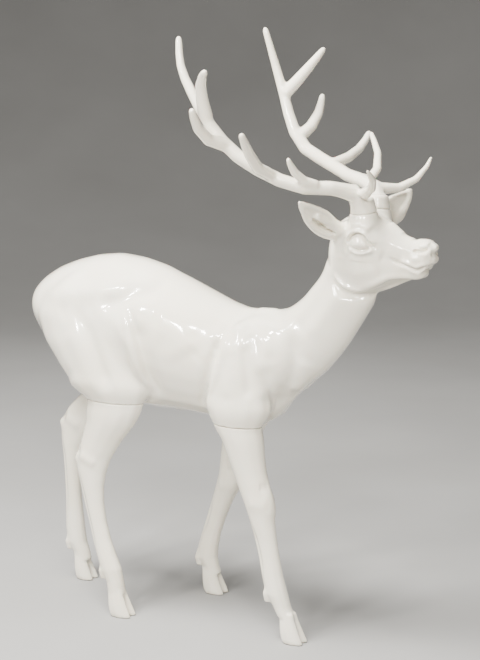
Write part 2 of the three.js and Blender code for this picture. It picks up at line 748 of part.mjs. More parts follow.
const skin = body();
for (const [name, side] of Object.entries(SIDES)) {
  add(`body_shell_${name}`, half(skin, side), "skin");
  add(`ear_${name}`, ear(name), "skin");
  add(`antler_${name}`, antler(name), "skin");
  add(`antler_pin_${name}`, antlerPin(side), "steel");
  add(`antler_sleeve_${name}`, sleeve(side).subtract(antlerPin(side, GAP)), "steel");
}
for (const [name, leg] of Object.entries(LEGS)) {
  add(`leg_${name}`, legSkin(leg), "skin");
  add(`leg_rod_${name}`, legRod(leg), "steel");
  add(`set_screw_${name}`, setScrew(leg), "steel");
}
add("hind_yoke", yoke(LEGS.hind_right, LEGS.hind_left), "steel");
add("fore_yoke", yoke(LEGS.front_right, LEGS.front_left), "steel");
add("spine_bar", spineBar(), "steel");
add("neck_bar", neckBar(), "steel");
for (const [name, seat] of Object.entries(LAMPS)) {
  add(`lamp_base_${name}`, lampBase(seat), "aluminium");
  add(`lamp_lens_${name}`, lampLens(seat), "lens");
}
add("driver_box", driverBox(), "black");
add("driver_lid", driverLid(), "black");
add("harness", harness(), "rubber");
add("hatch_ring", hatchRing(), "white");
add("hatch_cap", hatchCap(), "white");
add("hatch_seal", hatchSeal(), "rubber");
add("inlet_gland", inletGland(), "black");
add("gland_nut", glandNut(), "black");
add("switch_body", switchBody(), "black");
add("power_button", powerButton(), "black");

const bounds = new THREE.Box3().setFromObject(stag);
const centre = bounds.getCenter(new THREE.Vector3());
stag.position.set(-centre.x, -centre.y, -bounds.min.z);

export default stag;
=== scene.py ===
# A life-size walking stag in glossy ivory plastic, whose skin is sculpted here round the CAD model.
#
# The outer faces of the CAD shells become a distance field, which is blurred until its facets melt. The
# ears, the slots of the nostrils and the openings for the CAD pieces are added to the field or cut from
# it. Its zero surface is meshed, more finely at the head, and then worked like clay: each stroke raises
# or hollows the surface along a short line, from broad muscles down to eyelids and the mouth.

import json
import math

import bmesh
import bpy
import numpy as np
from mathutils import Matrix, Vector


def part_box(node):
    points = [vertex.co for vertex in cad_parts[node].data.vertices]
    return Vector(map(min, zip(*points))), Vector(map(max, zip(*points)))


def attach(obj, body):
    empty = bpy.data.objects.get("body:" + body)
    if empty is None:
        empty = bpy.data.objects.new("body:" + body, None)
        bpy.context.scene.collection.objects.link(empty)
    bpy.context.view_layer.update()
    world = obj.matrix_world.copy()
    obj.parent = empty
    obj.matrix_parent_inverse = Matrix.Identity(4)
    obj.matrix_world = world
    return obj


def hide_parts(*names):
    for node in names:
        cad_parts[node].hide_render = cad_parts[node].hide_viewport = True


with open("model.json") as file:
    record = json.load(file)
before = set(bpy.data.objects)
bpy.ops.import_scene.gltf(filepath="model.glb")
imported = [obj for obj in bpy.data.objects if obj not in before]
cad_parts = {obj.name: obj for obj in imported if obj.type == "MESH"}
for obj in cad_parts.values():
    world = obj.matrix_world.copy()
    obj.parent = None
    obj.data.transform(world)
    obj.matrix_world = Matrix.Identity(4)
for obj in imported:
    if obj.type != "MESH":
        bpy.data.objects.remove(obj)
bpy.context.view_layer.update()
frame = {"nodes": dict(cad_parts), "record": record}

import openvdb as vdb
from mathutils import Vector
from mathutils.bvhtree import BVHTree

MM = 0.001
NODES = frame["nodes"]
SIDES = {"right": -1, "left": 1}
LEGS = ("hind_right", "hind_left", "front_right", "front_left")

# Places on the figure are in millimetres from the point on the floor midway between its hooves. The
# axis of the belly hatch is 50 mm in front of that point, on the figure's middle plane.
HATCH_FORWARD = 50


def centre_of(node):
    """The middle of a CAD node's box."""
    low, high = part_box(node)
    return (low + high) / 2


ORIGIN = centre_of("hatch_ring") * Vector((1, 1, 0)) - Vector((HATCH_FORWARD * MM, 0, 0))


def metres(points):
    """Places on the figure, in millimetres, as points of the scene."""
    return np.asarray(points, float) * MM + np.array(ORIGIN)


# ---------------------------------------------------------------- distance fields


def triangles(names):
    """The corners and triangles of some CAD nodes."""
    corners, faces, count = [], [], 0
    for name in names:
        mesh = NODES[name].data
        mesh.calc_loop_triangles()
        points = np.empty(len(mesh.vertices) * 3)
        mesh.vertices.foreach_get("co", points)
        index = np.empty(len(mesh.loop_triangles) * 3, np.int32)
        mesh.loop_triangles.foreach_get("vertices", index)
        corners.append(points.reshape(-1, 3))
        faces.append(index.reshape(-1, 3) + count)
        count += len(mesh.vertices)
    return np.concatenate(corners), np.concatenate(faces)


SIGHT_LINES = 60  # directions that are tried from each face
GRAZING = 0.05  # a direction counts if it leaves the face at more than this slope
OFF_FACE = 0.1 * MM  # the lines start so far in front of the face


def seen_from_outside(corners, faces):
    """Which faces have a free line of sight out of the figure."""
    tree = BVHTree.FromPolygons([Vector(p) for p in corners], faces.tolist())
    rays = np.random.default_rng(1).normal(size=(SIGHT_LINES, 3))
    rays /= np.linalg.norm(rays, axis=1)[:, None]
    tri = corners[faces]
    normals = np.cross(tri[:, 1] - tri[:, 0], tri[:, 2] - tri[:, 0])
    normals /= np.linalg.norm(normals, axis=1)[:, None] + 1e-12
    starts = tri.mean(1) + normals * OFF_FACE
    seen = np.zeros(len(faces), bool)
    for i, (start, normal) in enumerate(zip(starts, normals)):
        away = rays[rays @ normal > GRAZING]
        origin = Vector(start)
        seen[i] = any(tree.ray_cast(origin, Vector(ray))[0] is None for ray in away)
    return seen


LEVEL_SET_BAND = 8.0  # a level set holds distances up to so many steps


def level_set(corners, faces, low, high, step):
    """Distances to the faces in a box, as an array, and the place of its first sample."""
    grid = vdb.FloatGrid.createLevelSetFromPolygons(
        corners.astype(np.float32),
        triangles=faces.astype(np.uint32),
        transform=vdb.createLinearTransform(step),
        halfWidth=LEVEL_SET_BAND,
    )
    first = np.floor(np.asarray(low) / step).astype(int)
    last = np.ceil(np.asarray(high) / step).astype(int)
    values = np.empty(tuple(last - first + 1), np.float32)
    grid.copyToArray(values, ijk=tuple(int(i) for i in first))
    return values, first * step


def flooded(open_cells):
    """The open cells that can be reached from the first cell, found by sweeps along each axis."""
    reached = np.zeros_like(open_cells)
    reached[0, 0, 0] = True
    before = -1
    while reached.sum() != before:
        before = reached.sum()
        for axis in range(3):
            for turn in (1, -1):
                cells = np.moveaxis(reached, axis, 0)[::turn]
                free = np.moveaxis(open_cells, axis, 0)[::turn]
                for i in range(1, len(cells)):
                    cells[i] |= cells[i - 1] & free[i]
    return reached


def blend_weight(values, start, end):
    """0 at start, 1 at end, smooth between."""
    t = np.clip((values - start) / (end - start), 0, 1)
    return t * t * (3 - 2 * t)


class Field:
    """Distances on an even grid, negative inside."""

    BLUR_REACH = 2.6  # the bell curve of a blur is cut off at so many times its width

    def __init__(self, values, low, step):
        self.values, self.low, self.step = values, np.asarray(low, float), step

    def box(self):
        return self.low, self.low + (np.array(self.values.shape) - 1) * self.step

    def blurred(self, sigma):
        """The field blurred by sigma, one length or one for each axis."""
        values = self.values
        for axis, length in enumerate(np.broadcast_to(sigma, 3)):
            reach = math.ceil(self.BLUR_REACH * length / self.step)
            weights = np.exp(-0.5 * (np.arange(-reach, reach + 1) * self.step / length) ** 2)
            weights /= weights.sum()
            pad = [(reach, reach) if a == axis else (0, 0) for a in range(3)]
            wide = np.moveaxis(np.pad(values, pad, mode="edge"), axis, 0)
            values = np.zeros_like(values)
            made = np.moveaxis(values, axis, 0)
            for i, weight in enumerate(weights):
                made += np.float32(weight) * wide[i : i + len(made)]
        return Field(values, self.low, self.step)

    def on(self, axes):
        """The field on the grid that three lists of coordinates make, by cubic interpolation."""
        values = self.values
        for axis, places in enumerate(axes):
            t = (places - self.low[axis]) / self.step
            first = np.clip(np.floor(t).astype(int), 1, values.shape[axis] - 3)
            u = np.clip(t - first, 0, 1)
            weights = (
                -0.5 * u + u**2 - 0.5 * u**3,
                1 - 2.5 * u**2 + 1.5 * u**3,
                0.5 * u + 2 * u**2 - 1.5 * u**3,
                0.5 * (u**3 - u**2),
            )
            shape = [-1 if a == axis else 1 for a in range(3)]
            values = sum(
                w.astype(np.float32).reshape(shape) * np.take(values, first + i - 1, axis)
                for i, w in enumerate(weights)
            )
        return values


# The skin's nodes, and those that close its openings, so that its hollow can be told from the outside.
SKIN_NAMES = ("body_shell", "ear_", "leg_")
PLUG_NAMES = ("hatch_", "inlet", "switch", "power", "antler_sleeve", "antler_pin")
SKIN_NODES = [name for name in NODES if name.startswith(SKIN_NAMES)]
PLUG_NODES = [name for name in NODES if name.startswith(PLUG_NAMES)]


class Figure:
    """The closed outline of body and legs, whose hollow inside counts as solid."""

    STEP = 4.5 * MM
    MARGIN = 12 * STEP
    KEPT_OFF = 1.6 * STEP  # the flood keeps so far off the faces, which closes every seam
    REGROWTH = 3  # rounds in which the flooded cells then grow back to the faces
    ON_FACE = 0.2 * MM  # a sample so near a face counts as inside
    DEEP = 2.5 * MM  # so far under the coarse surface, the hollow counts as inside

    def __init__(self):
        self.corners, self.faces = triangles(SKIN_NODES + PLUG_NODES)
        self.outer = self.faces[seen_from_outside(self.corners, self.faces)]
        box = self.corners.min(0) - self.MARGIN, self.corners.max(0) + self.MARGIN
        solid, _ = level_set(self.corners, self.faces, *box, self.STEP)
        reached = flooded(solid > self.KEPT_OFF)
        for _ in range(self.REGROWTH):
            for axis in range(3):
                for shift in (1, -1):
                    reached |= np.roll(reached, shift, axis) & (solid > 0)
        outer, first = level_set(self.corners, self.outer, *box, self.STEP)
        sign = np.where(reached, 1, -1).astype(np.float32)
        self.coarse = Field(sign * np.abs(outer), first, self.STEP)

    def near(self, low, high, step):
        """The signed distance in a box, on a finer grid."""
        solid, first = level_set(self.corners, self.faces, low, high, step)
        outer, _ = level_set(self.corners, self.outer, low, high, step)
        axes = [first[a] + np.arange(solid.shape[a]) * step for a in range(3)]
        inside = (solid < self.ON_FACE) | (self.coarse.on(axes) < -self.DEEP)
        return Field(np.where(inside, -1, 1).astype(np.float32) * np.abs(outer), first, step)


def solid_field(names, step, sigma, margin=12 * MM):
    """The blurred field of closed CAD nodes."""
    corners, faces = triangles(names)
    low, high = corners.min(0) - margin, corners.max(0) + margin
    return Field(*level_set(corners, faces, low, high, step), step).blurred(sigma)


def smooth_min(a, b, width):
    """The lower of two fields, rounded where they are within width of each other."""
    h = np.clip(0.5 + 0.5 * (b - a) / width, 0, 1)
    return b + (a - b) * h - width * h * (1 - h)


def capsule(axes, start, end, radii):
    """Distance to a rod whose radius changes from its start to its end, all given in millimetres."""
    start, end = metres(start), metres(end)
    xs, ys, zs = (axis.astype(np.float32) for axis in axes)
    gap = [xs[:, None, None] - start[0], ys[None, :, None] - start[1], zs[None, None, :] - start[2]]
    run = end - start
    along = sum(g * r for g, r in zip(gap, run)) / (run @ run)
    along = np.clip(along, 0, 1).astype(np.float32)
    squares = sum((g - along * r) ** 2 for g, r in zip(gap, run.astype(np.float32)))
    return np.sqrt(squares) - (radii[0] + (radii[1] - radii[0]) * along) * MM


def window(axes, low, high):
    """The part of a grid that lies in a box: an index of its samples, and their coordinates."""
    index = [np.flatnonzero((axis >= a) & (axis <= b)) for axis, a, b in zip(axes, low, high)]
    return np.ix_(*index), [axis[i] for axis, i in zip(axes, index)]


def round_an_axis(axes, origin, axis):
    """Heights along an axis, and distances from it."""
    xs, ys, zs = axes
    gap = xs[:, None, None] - origin[0], ys[None, :, None] - origin[1], zs[None, None, :] - origin[2]
    height = sum(g * a for g, a in zip(gap, axis))
    squares = sum((g - height * a) ** 2 for g, a in zip(gap, axis))
    return height, np.sqrt(np.maximum(squares, 0))


# ---------------------------------------------------------------- clay


def graded(low, high, step_at):
    """Coordinates from low to high, whose steps follow a function of the place."""
    places = [low]
    while places[-1] < high:
        places.append(places[-1] + step_at(places[-1]))
    return np.array(places)


def even(low, high, step):
    """Evenly spaced coordinates, the last of them at high or just past it."""
    return np.arange(low, high + step, step)


def curve_through(points, spacing):
    """A smooth line through points, as evenly spaced samples."""
    points = np.asarray(points, float)
    padded = np.vstack([2 * points[0] - points[1], points, 2 * points[-1] - points[-2]])
    samples = []
    for a, b, c, d in zip(padded, padded[1:], padded[2:], padded[3:]):
        count = max(2, int(np.linalg.norm(c - b) / spacing) + 1)
        t = np.linspace(0, 1, count, endpoint=False)[:, None]
        bend = 2 * a - 5 * b + 4 * c - d
        twist = 3 * b - a - 3 * c + d
        samples.append(0.5 * (2 * b + (c - a) * t + bend * t**2 + twist * t**3))
    return np.vstack([*samples, points[-1:]])


class Clay:
    """A closed quad mesh that can be smoothed and worked with strokes."""

    SHRINK, SWELL = 0.5, -0.52  # one round of smoothing draws the vertices in and lets them out again
    RELAXING = 0.6
    REACH = 3  # a stroke ends at so many times its width
    SLIDE = 0.6  # how far a place may slide from its nearest sample of the line, in samples
    STEP_CREST = 2.33  # makes the crest of a step as high as the step given
    FLANK_FACING = 0.45  # a stroke on a flank has its full height from this sideways slope on
    WAY_FACING = 0.4  # and a stroke that faces a way, from this slope on
    MIDDLE_FADE = 12 * MM  # a stroke on a flank fades out so near the middle plane

    def __init__(self, values, axes):
        """The zero surface of a field given on the grid of three lists of coordinates."""
        padded = np.pad(values, 1, constant_values=values.max())
        grid = vdb.FloatGrid(float(values.max()))
        grid.copyFromArray(padded)
        points, quads = grid.convertToQuads(0.0)
        samples = np.asarray(points, float).T - 1
        places = [np.interp(at, np.arange(len(axis)), axis) for at, axis in zip(samples, axes)]
        self.points = np.stack(places, 1)
        self.quads = np.asarray(quads, np.int64)
        a, b, c, d = (self.points[self.quads[:, i]] for i in range(4))
        if np.einsum("ij,ij->", a, np.cross(b, c) + np.cross(c, d)) < 0:
            self.quads = self.quads[:, ::-1]
        edges = np.concatenate([self.quads[:, [i, (i + 1) % 4]] for i in range(4)])
        edges = np.unique(np.sort(edges, 1), axis=0)
        self.edges = np.vstack([edges, edges[:, ::-1]])
        self.degree = np.bincount(self.edges[:, 0], minlength=len(self.points))[:, None]

    def around(self, values):
        """The mean of each vertex's neighbours."""
        sums = [
            np.bincount(self.edges[:, 0], values[self.edges[:, 1], a], minlength=len(values))
            for a in range(values.shape[1])
        ]
        return np.stack(sums, 1) / np.maximum(self.degree, 1)

    def normals(self):
        """The unit normal at each vertex."""
        a, b, c, d = (self.points[self.quads[:, i]] for i in range(4))
        across = np.cross(c - a, d - b)
        sums = np.zeros_like(self.points)
        for i in range(4):
            for axis in range(3):
                sums[:, axis] += np.bincount(self.quads[:, i], across[:, axis], minlength=len(sums))
        return sums / (np.linalg.norm(sums, axis=1)[:, None] + 1e-15)

    def smooth(self, times, where=None):
        """Smooths the surface without shrinking it."""
        share = 1.0 if where is None else where[:, None]
        for _ in range(times):
            for amount in (self.SHRINK, self.SWELL):
                self.points += (self.around(self.points) - self.points) * amount * share

    def relax(self, times, centre, radius):
        """Melts creases near a place, in millimetres."""
        share = np.exp(-((self.points - metres(centre)) ** 2).sum(1) / (radius * MM) ** 2)
        near = share > 0.02
        for _ in range(times):
            moved = (self.around(self.points) - self.points) * share[:, None] * self.RELAXING
            self.points[near] += moved[near]

    def stroke(self, line, width, height=0.0, step=0.0, side=None, middle=0.0, fade=0.2, toward=None):
        """Works the surface along a line, in millimetres.

        A line of (x, z) is seen from the side and marks that flank alone, beyond a middle plane. A line
        of (x, y, z) works what is near it, and toward limits it to what faces that way. Height raises
        the line, or hollows it where it is negative. Step raises what lies on one side of the line and
        lowers the other side: the left of the line as drawn with x to the right and z up. Fade is the
        share of the line over which each of its ends dies away.
        """
        flat = len(line[0]) == 2
        route = curve_through(line, width / 3) * MM
        origin = np.array(ORIGIN)
        route += origin[[0, 2]] if flat else origin
        places = self.points[:, [0, 2]] if flat else self.points
        radius = width * MM
        reach = self.REACH * radius
        low, high = route.min(0) - reach, route.max(0) + reach
        near = np.all((places > low) & (places < high), axis=1)
        if flat:
            beyond = (self.points[:, 1] - ORIGIN.y - middle * MM) * side
            near &= beyond > 0
        index = np.flatnonzero(near)
        if not len(index):
            return
        gaps = places[index][:, None, :] - route[None, :, :]
        nearest = (gaps**2).sum(2).argmin(1)
        tangents = np.gradient(route, axis=0)[nearest]
        gap = gaps[np.arange(len(index)), nearest]
        slide = np.clip((gap * tangents).sum(1) / (tangents**2).sum(1), -self.SLIDE, self.SLIDE)
        reached = np.clip(nearest + slide, 0, len(route) - 1)
        gap = gap - (reached - nearest)[:, None] * tangents
        distance = np.linalg.norm(gap, axis=1) / radius
        along = reached / (len(route) - 1)
        ends = blend_weight(np.minimum(along, 1 - along), -0.02, fade) if fade else 1.0
        bell = np.exp(-(distance**2)) * ends
        amount = height * bell
        normals = self.normals()[index]
        if step:
            across = tangents[:, 0] * gap[:, 1] - tangents[:, 1] * gap[:, 0]
            signed = across / np.linalg.norm(tangents, axis=1) / radius
            amount = amount + step * signed * bell * self.STEP_CREST
        if flat:
            amount = amount * blend_weight(normals[:, 1] * side, 0.0, self.FLANK_FACING)
            amount = amount * blend_weight(beyond[index], 0, self.MIDDLE_FADE)
        if toward is not None:
            way = np.array(toward) / np.linalg.norm(toward)
            amount = amount * blend_weight(normals @ way, 0.0, self.WAY_FACING)
        self.points[index] += normals * (amount * MM)[:, None]

    def object(self, name, material):
        """The clay as a smooth-shaded object in the scene."""
        mesh = bpy.data.meshes.new(name)
        mesh.from_pydata(self.points.tolist(), [], self.quads.tolist())
        mesh.validate()
        made = bpy.data.objects.new(name, mesh)
        bpy.context.scene.collection.objects.link(made)
        mesh.materials.append(material)
        mesh.polygons.foreach_set("use_smooth", np.ones(len(mesh.polygons), bool))
        mesh.update()
        return made


# ---------------------------------------------------------------- materials


def new_material(name):
    """A material with its nodes, its links and its shader."""
    made = bpy.data.materials.new(name)
    made.use_nodes = True
    nodes, links = made.node_tree.nodes, made.node_tree.links
    return made, nodes, links, nodes["Principled BSDF"]


def noise(nodes, links, scale, detail=4.0):
    """Noise over the object's own coordinates."""
    places = nodes.new("ShaderNodeTexCoord")
    made = nodes.new("ShaderNodeTexNoise")
    made.inputs["Scale"].default_value = scale
    made.inputs["Detail"].default_value = detail
    links.new(places.outputs["Object"], made.inputs["Vector"])
    return made.outputs["Fac"]


def ramp(nodes, links, value, stops):
    """Colours that change between two stops, each a value and its colour."""
    made = nodes.new("ShaderNodeValToRGB")
    for element, (place, colour) in zip(made.color_ramp.elements, stops):
        element.position = place
        element.color = (*colour, 1)
    links.new(value, made.inputs["Fac"])
    return made.outputs["Color"]


def span(nodes, links, value, low, high):
    """A value from 0 to 1, spread from low to high."""
    made = nodes.new("ShaderNodeMapRange")
    made.inputs["To Min"].default_value = low
    made.inputs["To Max"].default_value = high
    links.new(value, made.inputs["Value"])
    return made.outputs["Result"]


def bump(nodes, links, heights, strength, distance, after=None):
    """Fine relief for a shader's normal, on top of an earlier one where after is given."""
    made = nodes.new("ShaderNodeBump")
    made.inputs["Strength"].default_value = strength
    made.inputs["Distance"].default_value = distance
    links.new(heights, made.inputs["Height"])
    if after:
        links.new(after, made.inputs["Normal"])
    return made.outputs["Normal"]


def gel_coat():
    """Ivory plastic under a clear gel coat: faint clouds of colour, and a slight orange peel."""
    made, nodes, links, shader = new_material("ivory_gel_coat")
    clouds = noise(nodes, links, 3.2, 3.0)
    tints = ramp(nodes, links, clouds, [(0.3, (0.80, 0.74, 0.60)), (0.72, (0.87, 0.825, 0.71))])
    links.new(tints, shader.inputs["Base Color"])
    dullness = span(nodes, links, noise(nodes, links, 9.0, 5.0), 0.10, 0.24)
    links.new(dullness, shader.inputs["Roughness"])
    wave = bump(nodes, links, noise(nodes, links, 30.0, 2.0), 0.3, 0.0012)
    peel = bump(nodes, links, noise(nodes, links, 420.0, 2.0), 0.12, 0.0002, after=wave)
    links.new(peel, shader.inputs["Normal"])
    shader.inputs["IOR"].default_value = 1.5
    shader.inputs["Coat Weight"].default_value = 1.0
    shader.inputs["Coat Roughness"].default_value = 0.04
    shader.inputs["Subsurface Weight"].default_value = 0.05
    shader.inputs["Subsurface Scale"].default_value = 0.01
    return made


def moulded(name, dark, light, roughness):
    """Moulded plastic or rubber with a fine grain and slight colour variation."""
    made, nodes, links, shader = new_material(name)
    tints = ramp(nodes, links, noise(nodes, links, 40.0), [(0.3, dark), (0.7, light)])
    dullness = span(nodes, links, noise(nodes, links, 120.0), roughness - 0.06, roughness + 0.08)
    grain = bump(nodes, links, noise(nodes, links, 900.0, 3.0), 0.25, 0.0002)
    links.new(tints, shader.inputs["Base Color"])
    links.new(dullness, shader.inputs["Roughness"])
    links.new(grain, shader.inputs["Normal"])
    return made


def metal(name, dark, light, roughness):
    """Metal with brighter and duller patches, and a fine grain."""
    made, nodes, links, shader = new_material(name)
    tints = ramp(nodes, links, noise(nodes, links, 25.0, 6.0), [(0.35, dark), (0.7, light)])
    dullness = span(nodes, links, noise(nodes, links, 60.0, 6.0), roughness - 0.1, roughness + 0.15)
    grain = bump(nodes, links, noise(nodes, links, 700.0, 2.0), 0.2, 0.0002)
    links.new(tints, shader.inputs["Base Color"])
    links.new(dullness, shader.inputs["Roughness"])
    links.new(grain, shader.inputs["Normal"])
    shader.inputs["Metallic"].default_value = 1.0
    return made


def lens_plastic():
    """Warm milky plastic that lets some light through."""
    made, nodes, links, shader = new_material("warm_lens")
    stops = [(0.3, (0.9, 0.8, 0.55)), (0.7, (0.95, 0.88, 0.68))]
    links.new(ramp(nodes, links, noise(nodes, links, 30.0), stops), shader.inputs["Base Color"])
    dullness = span(nodes, links, noise(nodes, links, 80.0), 0.2, 0.35)
    links.new(dullness, shader.inputs["Roughness"])
    shader.inputs["Transmission Weight"].default_value = 0.4
    return made


SKIN = gel_coat()
FINISHES = {
    "skin": SKIN,
    "steel": metal("zinc_plated_steel", (0.42, 0.42, 0.43), (0.62, 0.62, 0.64), 0.35),
    "aluminium": metal("cast_aluminium", (0.6, 0.6, 0.62), (0.76, 0.76, 0.78), 0.4),
    "lens": lens_plastic(),
    "black_plastic": moulded("black_nylon", (0.012, 0.012, 0.013), (0.03, 0.03, 0.032), 0.45),
    "rubber": moulded("black_rubber", (0.02, 0.02, 0.02), (0.045, 0.043, 0.042), 0.8),
    "white_plastic": moulded("white_nylon", (0.70, 0.69, 0.65), (0.78, 0.77, 0.73), 0.38),
}


def finish_cad_nodes():
    """Every CAD node gets the finish of its slot in the record."""
    slots = {part["node"]: part["material_slot"] for part in frame["record"]["subparts"]}
    for name, node in NODES.items():
        node.data.materials.clear()
        node.data.materials.append(FINISHES[slots[name]])


# ---------------------------------------------------------------- body, neck and head

FINE, MIDDLE, COARSE = 2.6 * MM, 3.4 * MM, 6.4 * MM  # steps of the mesh
SPREAD = 70 * MM  # the mesh changes from coarse to fine over this length
HEAD_FROM = 470  # the mesh is fine in front of this and above HEAD_ABOVE
HEAD_ABOVE = 950
FINE_ROUND_PORT = 12 * MM  # it is fine so far round the belly's ports,
FINE_UNDER_PORT, FINE_OVER_PORT = 24 * MM, 30 * MM  # and from under to over their lowest point
MIDDLE_TO, COARSE_FROM = 85 * MM, 125 * MM  # across the figure, its step grows between these
BODY_MARGIN = 8 * MM
OUT_OF_BOX = 0.05  # the distance that is taken where a field has no samples

JOINTS = {"hind": 630, "front": 600}  # heights of the flat joints between body and legs
SEAM = 0.6 * MM
LEG_FLESH = 13 * MM  # a leg is cut from the figure so far round its CAD solid

# The figure's broad blur gives way to a finer one on the head, past a slanting plane, and on the legs.
FINE_FIELD_STEP = 3 * MM
FINE_BLUR = (6 * MM, 6 * MM, 8 * MM)
HEAD_SLANT, HEAD_LEVEL = 0.6, 1.0
HEAD_BLEND = (0.44, 0.56)
LEG_BLEND = (-0.76, -0.66)  # heights, negated

# A port in the belly is a round recess with a bore in its roof: the piece that fills it, how far that
# piece's flange hangs under the roof, and the radii of the recess and of the bore.
PORTS = (("hatch_ring", 3, 42, 36.4), ("inlet_gland", 7, 17, 7.9), ("switch_body", 3, 17, 9.4))
PORT_REACH = 10  # what is worked on round a port, beyond its recess,
PORT_DOWN, PORT_UP = 80 * MM, 60 * MM  # and below and above its roof
BORE_ENDS = 1 * MM  # a bore ends so far over the piece in it


def spacing(place, head, ports):
    """The step of the mesh: fine past a place on the way to the head and round the belly's ports."""
    low, high = ports
    fine = blend_weight(place, head - SPREAD, head)
    port = blend_weight(place, low - SPREAD, low) * blend_weight(-place, -high - SPREAD, -high)
    return COARSE + (FINE - COARSE) * float(max(fine, port))


def box_round(names):
    """The lowest and the highest corner of some CAD nodes."""
    lows, highs = zip(*(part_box(name) for name in names))
    return np.min(lows, 0), np.max(highs, 0)


def body_axes():
    """The grid of the body's mesh, alike on both sides of the middle plane."""
    low, high = box_round([name for name in NODES if name.startswith(("body_shell", "ear_"))])
    x0, _, z0 = low - BODY_MARGIN
    x1, _, z1 = high + BODY_MARGIN
    y1 = max(-low[1], high[1]) + BODY_MARGIN
    head_x, _, head_z = metres((HEAD_FROM, 0, HEAD_ABOVE))
    low, high = box_round([node for node, *_ in PORTS])
    low, high = low - FINE_ROUND_PORT, high + FINE_ROUND_PORT
    along = (low[0], high[0])
    deep = (low[2] - FINE_UNDER_PORT, low[2] + FINE_OVER_PORT)
    xs = graded(x0, x1, lambda x: spacing(x, head_x, along))
    zs = graded(z0, z1, lambda z: spacing(z, head_z, deep))
    wide = COARSE - MIDDLE
    upper = graded(0, y1, lambda y: MIDDLE + wide * float(blend_weight(y, MIDDLE_TO, COARSE_FROM)))
    ys = np.concatenate([-upper[:0:-1], upper])
    return xs, ys, zs


def smooth_figure(axes, figure):
    """The figure's field on a grid: a broad blur on the trunk, a finer one on the head and the legs."""
    xs, _, zs = axes
    x, z = xs[:, None, None] - ORIGIN.x, zs[None, None, :]
    trunk = TRUNK_FIELD.on(axes)
    low = tuple(axis[0] for axis in axes)
    high = tuple(axis[-1] for axis in axes)
    near = figure.near(low, high, FINE_FIELD_STEP).blurred(FINE_BLUR).on(axes)
    head = blend_weight(x + HEAD_SLANT * (z - HEAD_LEVEL), *HEAD_BLEND)
    leg = blend_weight(-z, *LEG_BLEND)
    return trunk + (near - trunk) * np.maximum(head, leg)


def joint_of(leg):
    """The height of a leg's joint with the body."""
    return JOINTS[leg.split("_")[0]] * MM


def leg_zone(name, axes):
    """Distance to the space that a leg takes, under its joint."""
    field = LEG_FIELDS[name]
    values = np.full([len(axis) for axis in axes], OUT_OF_BOX, np.float32)
    place, part = window(axes, *field.box())
    values[place] = field.on(part)
    above = (axes[2] - joint_of(name))[None, None, :]
    return np.maximum(values - LEG_FLESH, above)


# The ears are blurred less than the rest. A fat rod of space takes the figure's own blurred ear away,
# the crisp ear takes its place, and a short thick rod of gristle joins it to the skull.
EAR_STEP, EAR_BLUR = 1.6 * MM, 2.0 * MM
EAR_SPACE = [
    ((548, -100, 1178), (505, -225, 1262), (30, 38)),
    ((614, 104, 1184), (655, 240, 1258), (28, 40)),
]
EAR_ROOTS = [
    ((566, -48, 1158), (540, -92, 1174), (24, 13)),
    ((588, 46, 1160), (604, 84, 1178), (24, 15)),
]
# The right ear: the lobe that rolls over its bowl, the slit under the lobe and how much deeper its inner
# part goes, and the line that trims the ear's top edge.
EAR_LOBE = [(534, -140, 1202), (542, -122, 1193), (553, -97, 1179), (564, -72, 1164)]
EAR_SLIT = [(521, -136, 1194), (523, -124, 1186), (528, -111, 1177), (535, -102, 1170),
            (542, -97, 1165), (548, -90, 1160), (555, -83, 1154)]
SLIT_DEPTH = (-3, 3, 2)
EAR_TRIM = [(526, -228, 1276), (538, -193, 1258), (546, -180, 1249), (559, -146, 1240),
            (572, -112, 1223), (578, -94, 1214)]
# The rolled front edge of the left ear.
EAR_EDGE = [(642, 208, 1243), (644, 204, 1229), (643, 196, 1213), (641, 184, 1198),
            (637, 171, 1185), (633, 157, 1174), (627, 140, 1165), (610, 100, 1160)]
# The right nostril, and the crease over the right eye.
NOSTRIL = [(766, -28, 1113), (778, -29, 1113), (789, -28, 1114), (797, -25, 1118)]
EYE_CREASE = [(590, -69, 1131), (595, -71, 1138), (604, -73, 1145), (614, -75, 1150),
              (627, -76, 1153), (636, -75, 1151), (643, -73, 1147), (650, -70, 1137), (660, -65, 1125)]
# The stump under each antler is a cone, whose crease with the skull is filled.
STUMP = ((623, 42, 1136), (621, 43, 1204), (44, 25))
HEAD_BOX = ((460, -270, 1080), (720, 270, 1290))  # all of the ears and the stumps is in it
SLOT_MARGIN = 12

BURR_OVER_SLEEVE = 31.3  # from the middle of an antler's sleeve to its burr
SEAT_BOX = 75 * MM  # what is worked on round a burr
SEAT_RADIUS, SEAT_HEIGHT = 60 * MM, 45 * MM  # what is cut away over it
SEAT_GAP = 0.3 * MM  # the skull ends so far under it
SLEEVE_BORE, SLEEVE_DEPTH = 14.9 * MM, 64 * MM


def burr(side):
    """The middle of the ring where an antler meets the skull, and the way it lifts off."""
    sleeve, pin = centre_of("antler_sleeve_" + side), centre_of("antler_pin_" + side)
    axis = (pin - sleeve).normalized()
    return np.array(sleeve + axis * BURR_OVER_SLEEVE * MM), np.array(axis)


def cut_antler_seats(values, axes):
    """The skull ends flat at each burr, with a bore for the sleeve."""
    for side in SIDES:
        middle, axis = burr(side)
        place, part = window(axes, middle - SEAT_BOX, middle + SEAT_BOX)
        height, radius = round_an_axis(part, middle, axis)
        over = np.maximum(radius - SEAT_RADIUS, height - SEAT_HEIGHT)
        over = np.maximum(over, -(height + SEAT_GAP))
        bore = np.maximum(radius - SLEEVE_BORE, -(height + SLEEVE_DEPTH))
        values[place] = np.maximum(values[place], -np.minimum(over, bore))


